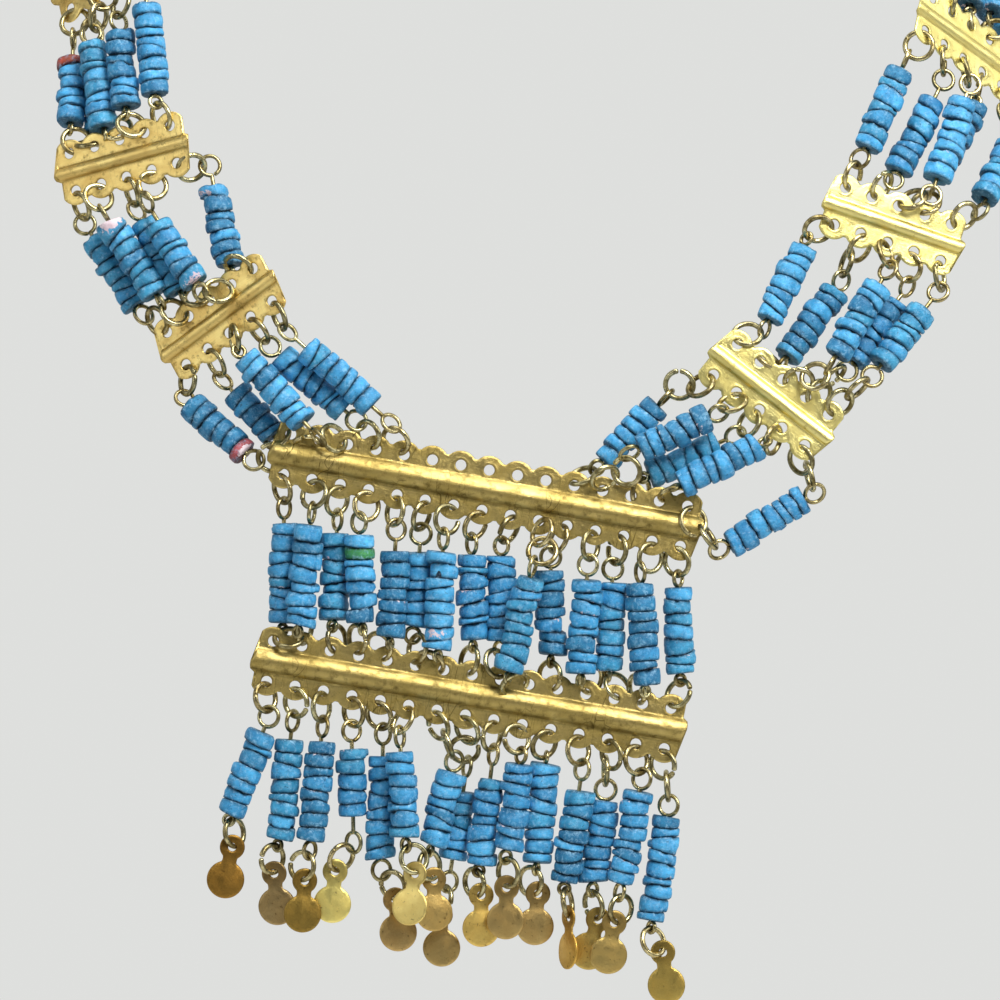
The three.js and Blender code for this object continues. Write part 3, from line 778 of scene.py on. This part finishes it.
class Surface:
    """A procedural material that reads the tint, the value for worn spots and painted shade, the
    patch and the place of each point of a mesh.
    """

    def __init__(self, name, metallic):
        self.material = bpy.data.materials.new(name)
        self.material.use_nodes = True
        self.tree = self.material.node_tree
        self.shader = self.tree.nodes["Principled BSDF"]
        self.shader.inputs["Metallic"].default_value = metallic
        self.place = self.attribute("place", "Vector")

    def attribute(self, name, output):
        node = self.tree.nodes.new("ShaderNodeAttribute")
        node.attribute_name = name
        return node.outputs[output]

    def put(self, socket, value):
        if isinstance(value, bpy.types.NodeSocket):
            self.tree.links.new(value, socket)
        elif isinstance(value, tuple):
            socket.default_value = (*value, 1.0) if len(socket.default_value) == 4 else value
        else:
            socket.default_value = value

    def noise(self, scale, detail=2.0, stretch=(1, 1, 1), roughness=0.5, distortion=0.0):
        moved = self.tree.nodes.new("ShaderNodeVectorMath")
        moved.operation = "MULTIPLY"
        self.put(moved.inputs[0], self.place)
        self.put(moved.inputs[1], stretch)
        node = self.tree.nodes.new("ShaderNodeTexNoise")
        self.put(node.inputs["Vector"], moved.outputs[0])
        node.inputs["Scale"].default_value = scale
        node.inputs["Detail"].default_value = detail
        node.inputs["Roughness"].default_value = roughness
        node.inputs["Distortion"].default_value = distortion
        return node.outputs["Fac"]

    def cracks(self, scale, stretch, width):
        moved = self.tree.nodes.new("ShaderNodeVectorMath")
        moved.operation = "MULTIPLY"
        self.put(moved.inputs[0], self.place)
        self.put(moved.inputs[1], stretch)
        node = self.tree.nodes.new("ShaderNodeTexVoronoi")
        node.feature = "DISTANCE_TO_EDGE"
        self.put(node.inputs["Vector"], moved.outputs[0])
        node.inputs["Scale"].default_value = scale
        return self.span(node.outputs["Distance"], 0.0, width, 1.0, 0.0)

    def span(self, value, low, high, start=0.0, end=1.0):
        node = self.tree.nodes.new("ShaderNodeMapRange")
        self.put(node.inputs["Value"], value)
        node.inputs["From Min"].default_value = low
        node.inputs["From Max"].default_value = high
        node.inputs["To Min"].default_value = start
        node.inputs["To Max"].default_value = end
        return node.outputs["Result"]

    def sums(self, operation, first, second):
        node = self.tree.nodes.new("ShaderNodeMath")
        node.operation = operation
        self.put(node.inputs[0], first)
        self.put(node.inputs[1], second)
        return node.outputs[0]

    def mix(self, share, first, second, blend="MIX"):
        node = self.tree.nodes.new("ShaderNodeMix")
        node.data_type = "RGBA"
        node.blend_type = blend
        # This node has its sockets once for each data type: 6, 7 and output 2 are the colours.
        self.put(node.inputs[0], share)
        self.put(node.inputs[6], first)
        self.put(node.inputs[7], second)
        return node.outputs[2]

    def finish(self, colour, roughness, height, strength, distance):
        self.put(self.shader.inputs["Base Color"], colour)
        self.put(self.shader.inputs["Roughness"], roughness)
        bump = self.tree.nodes.new("ShaderNodeBump")
        bump.inputs["Strength"].default_value = strength
        bump.inputs["Distance"].default_value = distance
        self.put(bump.inputs["Height"], height)
        self.put(self.shader.inputs["Normal"], bump.outputs[0])
        return self.material


def stamped_brass(name, bright, dull, dark, tarnish, scratched, shade):
    """Stamped sheet brass: dull and bright patches, drawn scratches, cracks, and dark dirt with
    painted shade in the rib's creases and round the holes. The last three numbers are how tarnished
    and cracked it is, and how dark the painted shade on the rib's lower half."""
    s = Surface(name, 1.0)
    patches = s.span(s.noise(0.16, 4, (1, 1, 1.6), 0.6, 0.6), 0.36, 0.64)
    colour = s.mix(patches, bright, dull)
    brushed = s.span(s.noise(1.1, 5, (0.22, 1, 3.2), 0.7), 0.42, 0.66)
    colour = s.mix(s.sums("MULTIPLY", brushed, 0.35), colour, dull)
    # The rib's lower half turns darker by the patch value: painted shade, as if the light came from
    # above.
    uneven = s.span(s.noise(0.3, 4, (0.4, 1, 1)), 0.3, 0.65, shade, 0.6 * shade)
    lower_half_shade = s.sums("MULTIPLY", s.attribute("patch", "Fac"), uneven)
    colour = s.mix(lower_half_shade, colour, s.mix(0.35, dark, dull))
    spots = s.span(s.noise(0.8, 5, (1, 1, 1), 0.65), 0.6 - 0.1 * tarnish, 0.74)
    colour = s.mix(s.sums("MULTIPLY", spots, 0.75), colour, dark)
    where = s.span(s.noise(0.11, 2, (1, 1, 0.5)), 0.52 - 0.04 * tarnish, 0.6)
    where = s.sums("MULTIPLY", where, scratched)
    lines = s.sums("MULTIPLY", s.cracks(0.5, (1.5, 1, 0.2), 0.025), where)
    colour = s.mix(s.sums("MULTIPLY", lines, 0.85), colour, dark)
    # Darker where the worn-and-shaded value is high: on the bars that is the rib's creases and the
    # hole rims, painted shade with some dirt.
    most = 0.55 + 0.4 * tarnish
    crease_shade_and_dirt = s.span(s.noise(0.7, 3), 0.3, 0.6, 0.3 * most, most)
    crease_shade_and_dirt = s.sums("MULTIPLY", s.attribute("wear", "Fac"), crease_shade_and_dirt)
    colour = s.mix(crease_shade_and_dirt, colour, dark)
    rough = s.sums("ADD", s.span(patches, 0, 1, 0.3, 0.44), s.sums("MULTIPLY", spots, 0.22))
    scratch = s.noise(3.5, 4, (0.16, 1, 3.5), 0.65)
    pits = s.noise(2.6, 4, (1, 1, 1), 0.6)
    height = s.sums("SUBTRACT", s.sums("ADD", scratch, s.sums("MULTIPLY", pits, 0.7)), lines)
    return s.finish(colour, rough, height, 0.32, 0.00012)


def thin_brass():
    """The drops' sheet: a tan gold with brown spots, each drop in its own tone."""
    s = Surface("drop_brass", 1.0)
    tint = s.attribute("tint", "Color")
    clouds = s.span(s.noise(0.5, 4, (1, 1, 1), 0.6), 0.35, 0.68)
    brown = s.mix(1.0, tint, (0.72, 0.64, 0.52), "MULTIPLY")
    colour = s.mix(s.sums("MULTIPLY", clouds, 0.55), tint, brown)
    spots = s.span(s.noise(1.5, 4, (1, 1, 1), 0.6), 0.62, 0.72)
    colour = s.mix(s.sums("MULTIPLY", spots, 0.7), colour, rgb(92, 66, 28))
    colour = s.mix(s.sums("MULTIPLY", s.attribute("wear", "Fac"), 0.45), colour, rgb(96, 72, 34))
    rough = s.span(clouds, 0, 1, 0.34, 0.52)
    height = s.sums("ADD", s.noise(2.8, 4, (1, 1, 1), 0.65), s.noise(3.2, 3, (3.5, 1, 0.3)))
    return s.finish(colour, rough, height, 0.3, 0.0001)


def wire_brass():
    """Rings, pins, chain and hook: greyed brass, bright where it rubs."""
    s = Surface("ring_brass", 1.0)
    tint = s.attribute("tint", "Color")
    rubbed = s.span(s.noise(0.55, 3, (1, 1, 1), 0.6), 0.36, 0.62)
    colour = s.mix(rubbed, rgb(118, 105, 64), rgb(204, 193, 146))
    colour = s.mix(1.0, colour, tint, "MULTIPLY")
    spots = s.span(s.noise(1.7, 4, (1, 1, 1), 0.65), 0.56, 0.7)
    colour = s.mix(s.sums("MULTIPLY", spots, 0.8), colour, rgb(56, 47, 26))
    rough = s.span(rubbed, 0, 1, 0.4, 0.24)
    return s.finish(colour, rough, s.noise(4.0, 3), 0.18, 0.00008)


def clay():
    """Dyed clay: mottled, chalky scuffs on the worn edges, dark specks and a rough cut face."""
    s = Surface("clay", 0.0)
    tint = s.attribute("tint", "Color")
    wear = s.attribute("wear", "Fac")
    clouds = s.span(s.noise(0.45, 4, (1, 1, 1), 0.6), 0.34, 0.66)
    colour = s.mix(clouds, s.mix(1.0, tint, (0.36, 0.58, 0.66), "MULTIPLY"), tint)
    chalk = s.span(s.noise(1.3, 5, (1, 1, 1), 0.68, 0.5), 0.5, 0.68)
    chalk = s.sums("MULTIPLY", chalk, s.span(wear, 0, 1, 0.26, 0.6))
    colour = s.mix(chalk, colour, rgb(166, 214, 244))
    streaks = s.span(s.noise(0.8, 5, (1, 1, 3), 0.7, 0.6), 0.5, 0.64)
    colour = s.mix(s.sums("MULTIPLY", streaks, 0.3), colour, rgb(34, 98, 138))
    scuffs = s.span(s.noise(1.5, 6, (1, 1, 2.2), 0.75, 1.0), 0.6, 0.68)
    colour = s.mix(s.sums("MULTIPLY", scuffs, 0.55), colour, rgb(176, 198, 222))
    specks = s.span(s.noise(2.2, 3, (1, 1, 1), 0.6), 0.62, 0.7)
    colour = s.mix(s.sums("MULTIPLY", specks, 0.6), colour, rgb(18, 52, 80))
    ragged = s.sums("MULTIPLY", s.span(s.noise(1.2, 5, (1, 1, 1), 0.7), 0.3, 0.7, -0.5, 0.5), 0.8)
    flaked = s.span(s.sums("ADD", s.attribute("patch", "Fac"), ragged), 0.52, 0.6)
    colour = s.mix(flaked, colour, s.mix(clouds, rgb(190, 168, 178), rgb(228, 214, 220)))
    s.shader.inputs["Specular IOR Level"].default_value = 0.35
    rough = s.span(chalk, 0, 0.5, 0.5, 0.8)
    coarse = s.noise(0.9, 5, (1, 1, 1), 0.7)
    fine = s.noise(3.2, 4, (1, 1, 1), 0.7)
    height = s.sums("ADD", coarse, s.sums("MULTIPLY", fine, 0.5))
    return s.finish(colour, rough, height, 0.55, 0.0003)


CLAY = clay()
WIRE = wire_brass()
DROP_BRASS = thin_brass()
LONG_BRASS = stamped_brass(
    "bar_brass_long", rgb(214, 192, 122), rgb(182, 160, 92), rgb(74, 61, 26), 1.0, 1.0, 0.75,
)
# The strap bars take a lit and a shaded copy of one brass: the right strap's is paler and nearly
# free of tarnish, painted light for the strong light from the right, and the left strap's a deeper
# gold, painted as less lit.
BRASS_SHADED_LEFT = stamped_brass(
    "bar_brass_shaded_left", rgb(246, 222, 142), rgb(230, 196, 116), rgb(104, 84, 40), 0.5, 0.35, 0.6,
)
BRASS_LIT_RIGHT = stamped_brass(
    "bar_brass_lit_right", rgb(246, 234, 156), rgb(238, 222, 138), rgb(146, 124, 60), 0.05, 0.0, 0.2,
)

# The drops' tones: most are tan gold, a few bright and one brown.
DROP_TONES = {
    1: rgb(166, 128, 60), 2: rgb(176, 152, 104), 3: rgb(168, 140, 70), 4: rgb(254, 238, 144),
    5: rgb(202, 172, 112), 6: rgb(253, 230, 144), 7: rgb(212, 182, 112), 9: rgb(240, 208, 118),
    12: rgb(224, 182, 90), 13: rgb(218, 190, 108), 14: rgb(206, 180, 110), 15: rgb(206, 180, 98),
}
DROP_TAN = rgb(200, 172, 110)


def hanging_ends(bar, index, shift, bare, lean, beads, depth):
    """A hanging string's hole, and the first and last points of its beads."""
    hole = bar.hole(-1, index)
    first = hole + Vector((shift, depth, -bare))
    last = first + Vector((lean, 0, -math.sqrt(beads ** 2 - lean ** 2)))
    return hole, first, last


def make_bars():
    for number, name in enumerate(BARS):
        material = LONG_BRASS
        # The strap bars on the left and right take the shaded and the lit copy of the brass.
        if "left" in name:
            material = BRASS_SHADED_LEFT
        elif "right" in name:
            material = BRASS_LIT_RIGHT
        add_bar(name, material, number + 1)


def make_curtain():
    upper, lower = BAR["bib_bar_upper"], BAR["bib_bar_lower"]
    for group in range(3):
        node = f"bib_beads_{group + 1}"
        discs, wires = Mesh(), Mesh()
        rng = random.Random(100 + group)
        for local in range(5):
            index = group * 5 + local
            hole, first, last = hanging_ends(upper, index, *CURTAIN[index])
            add_string(discs, rng, node, local, first, last)
            down = (last - first).normalized()
            add_link(wires, rng, first, -down, hole, upper.into)
            add_link(wires, rng, last, down, lower.hole(1, index), lower.into)
        discs.make(f"{node}_discs", CLAY, "clay", node)
        wires.make(f"{node}_wires", WIRE, "ring_brass", node)


def make_fringe():
    lower = BAR["bib_bar_lower"]
    for index, row in enumerate(FRINGE):
        number = index + 1
        node = f"fringe_beads_{number:02d}"
        wire, side, swing, yaw = row[5:]
        rng = random.Random(300 + index)
        discs, wires = Mesh(), Mesh()
        hole, first, last = hanging_ends(lower, index, *row[:5])
        add_string(discs, rng, node, 0, first, last)
        down = (last - first).normalized()
        add_link(wires, rng, first, -down, hole, lower.into)
        drop_hole = last + Vector((side, 0, -wire - 2 * LOOP_RADIUS))
        tone = DROP_TONES.get(number, DROP_TAN)
        facing = add_drop(number, drop_hole, swing, yaw, rng, tone, DROP_BRASS)
        add_link(wires, rng, last, down, drop_hole, facing, DROP_HOLE_RADIUS)
        discs.make(f"{node}_discs", CLAY, "clay", node)
        wires.make(f"{node}_wires", WIRE, "ring_brass", node)


def make_straps():
    for seed, (node, (below, start, above, rows)) in enumerate(STRAPS.items()):
        below, above = BAR[below], BAR[above]
        discs, wires = Mesh(), Mesh()
        rng = random.Random(200 + seed)
        for i, (across, rise, turn, beads, depth) in enumerate(rows):
            low, high = below.hole(1, start + i), above.hole(-1, i)
            direction = (high - low).normalized()
            direction = Matrix.Rotation(math.radians(turn), 3, Vector((0, -1, 0))) @ direction
            middle = (low + high) / 2 + Vector((across, 0, rise)) + above.into * depth
            first = middle - direction * (beads / 2)
            last = middle + direction * (beads / 2)
            add_string(discs, rng, node, i, first, last)
            add_link(wires, rng, first, -direction, low, below.into)
            add_link(wires, rng, last, direction, high, above.into)
        discs.make(f"{node}_discs", CLAY, "clay", node)
        wires.make(f"{node}_wires", WIRE, "ring_brass", node)


def smooth_route(points, step):
    """Evenly spaced points along a smooth curve through the given points."""
    fine = []
    padded = [2 * points[0] - points[1], *points, 2 * points[-1] - points[-2]]
    for a, b, c, d in zip(padded, padded[1:], padded[2:], padded[3:]):
        for k in range(40):
            t = k / 40
            fine.append(0.5 * (2 * b + (c - a) * t + (2 * a - 5 * b + 4 * c - d) * t * t
                               + (3 * b - a - 3 * c + d) * t ** 3))
    fine.append(points[-1])
    lengths = [0.0]
    for a, b in zip(fine, fine[1:]):
        lengths.append(lengths[-1] + (b - a).length)
    count = round(lengths[-1] / step)
    out = []
    at = 0
    for i in range(count + 1):
        want = lengths[-1] * i / count
        while at < len(fine) - 2 and lengths[at + 1] < want:
            at += 1
        share = (want - lengths[at]) / (lengths[at + 1] - lengths[at])
        out.append(fine[at].lerp(fine[at + 1], share))
    return out


def make_chains():
    for seed, (name, (bar_name, end, points)) in enumerate(CHAIN_ROUTES.items()):
        bar = BAR[bar_name]
        rng = random.Random(400 + seed)
        edge = bar.sizes["row_gap"] / 2 + SCALLOP_CREST + CHAIN_CLEARANCE
        mesh = Mesh()
        hook_end = Vector((end * (HOOK_HALF_LENGTH + HOOK_WIRE + HOOK_GAP), 0, 0))
        route = [bar.point(0, 0, edge), bar.point(0, 0, edge + CHAIN_LEAD)]
        stops = smooth_route([*route, *map(Vector, points), hook_end], LINK_PITCH)
        for i, (a, b) in enumerate(zip(stops, stops[1:])):
            direction = (b - a).normalized()
            right, _ = side_of(direction)
            turn = math.radians(90 * (i % 2) + 45 + rng.uniform(-12, 12))
            flat = Matrix.Rotation(turn, 3, direction) @ right
            middle = (a + b) / 2
            path = []
            for k in range(LINK_SIDES):
                angle = 2 * math.pi * k / LINK_SIDES
                out = LINK_HALF_LENGTH * math.copysign(abs(math.cos(angle)) ** 0.8, math.cos(angle))
                path.append(middle + direction * out + flat * LINK_HALF_WIDTH * math.sin(angle))
            add_wire(mesh, path, CHAIN_WIRE, closed=True, sides=7, tint=brass_tint(rng))
        hole = bar.hole(1, bar.sizes["holes"] // 2)
        grip = hole + bar.up * (HOLE_RADIUS - RING_WIRE - WIRE_PLAY)
        in_link = stops[0] + (stops[1] - stops[0]) * 0.05
        add_ring(mesh, rng, grip, in_link, bar.into, RING_RADIUS * 0.9)
        mesh.make(f"{name}_links", WIRE, "ring_brass", name)


def make_hook():
    """A plain S of wire in place of the hidden clasp."""
    quarter = HOOK_HALF_LENGTH / 2
    half = [
        (quarter / 2, HOOK_BEND), (quarter, HOOK_BEND),
        (HOOK_HALF_LENGTH, 0), (quarter, -HOOK_BEND),
    ]
    right = [Vector((x, 0, z)) for x, z in half]
    left = [Vector((-x, 0, -z)) for x, z in reversed(half)]
    mesh = Mesh()
    add_wire(mesh, smooth_route(right + left, 0.45), HOOK_WIRE, sides=14, tint=(1.05, 1, 0.92))
    mesh.make("clasp_hook_wire", WIRE, "ring_brass", "clasp_hook")


make_bars()
make_curtain()
make_fringe()
make_straps()
make_chains()
make_hook()


def make_floor():
    """A wide pale floor well below the hanging necklace."""
    reach, level = 5, -0.6
    corners = [(-reach, -reach), (reach, -reach), (reach, reach), (-reach, reach)]
    mesh = bpy.data.meshes.new("floor")
    mesh.from_pydata([(x, y, level) for x, y in corners], [], [(0, 1, 2, 3)])
    paper = bpy.data.materials.new("paper")
    paper.use_nodes = True
    shader = paper.node_tree.nodes["Principled BSDF"]
    shader.inputs["Base Color"].default_value = (0.85, 0.85, 0.84, 1)
    shader.inputs["Roughness"].default_value = 0.9
    mesh.materials.append(paper)
    floor = bpy.data.objects.new("floor", mesh)
    bpy.context.scene.collection.objects.link(floor)


def make_studio():
    """A room that is pale behind the necklace and dim in front of it."""
    world = bpy.data.worlds.new("studio")
    world.use_nodes = True
    nodes, links = world.node_tree.nodes, world.node_tree.links
    background = nodes["Background"]
    background.inputs["Color"].default_value = (0.99, 1, 0.98, 1)
    direction = nodes.new("ShaderNodeTexCoord")
    split = nodes.new("ShaderNodeSeparateXYZ")
    glow = nodes.new("ShaderNodeMapRange")
    glow.interpolation_type = "SMOOTHSTEP"
    for end, way, strength in (("Min", -0.2, 0.07), ("Max", 0.6, 0.74)):
        glow.inputs[f"From {end}"].default_value = way
        glow.inputs[f"To {end}"].default_value = strength
    links.new(direction.outputs["Generated"], split.inputs[0])
    links.new(split.outputs["Y"], glow.inputs["Value"])
    links.new(glow.outputs["Result"], background.inputs["Strength"])
    bpy.context.scene.world = world


def add_light(name, at, target, size, power, colour=(1, 1, 1)):
    data = bpy.data.lights.new(name, "AREA")
    data.shape = "SQUARE"
    data.size = size
    data.energy = power
    data.color = colour
    light = bpy.data.objects.new(name, data)
    light.location = at
    light.rotation_euler = (Vector(target) - Vector(at)).to_track_quat("-Z", "Y").to_euler()
    light.visible_camera = False
    bpy.context.scene.collection.objects.link(light)


def make_camera():
    """A long lens straight in front of the bib, framed as the photograph is."""
    width, distance, sensor = 0.16667, 1.3, 36
    across, front, level = -0.0075, -0.105, -0.11333
    data = bpy.data.cameras.new("camera")
    data.sensor_width = sensor
    data.lens = sensor * distance / width
    data.clip_start = 0.05
    data.clip_end = 20
    camera = bpy.data.objects.new("camera", data)
    camera.location = (across, front - distance, level)
    camera.rotation_euler = (math.pi / 2, 0, 0)
    bpy.context.scene.collection.objects.link(camera)
    bpy.context.scene.camera = camera


make_floor()
make_studio()
add_light("key", (0.34, -0.7, 0.45), (0, -0.08, -0.1), 0.4, 9, (1, 0.98, 0.95))
add_light("top", (-0.05, -0.25, 0.6), (0, -0.09, -0.1), 0.45, 3)
add_light("left", (-0.68, -0.55, 0.12), (0, -0.08, -0.08), 0.6, 1.6, (0.97, 0.98, 1))
add_light("right", (0.8, -0.32, 0.2), (0, -0.08, -0.08), 0.5, 2.2)
bpy.context.scene.view_settings.view_transform = "Standard"
make_camera()
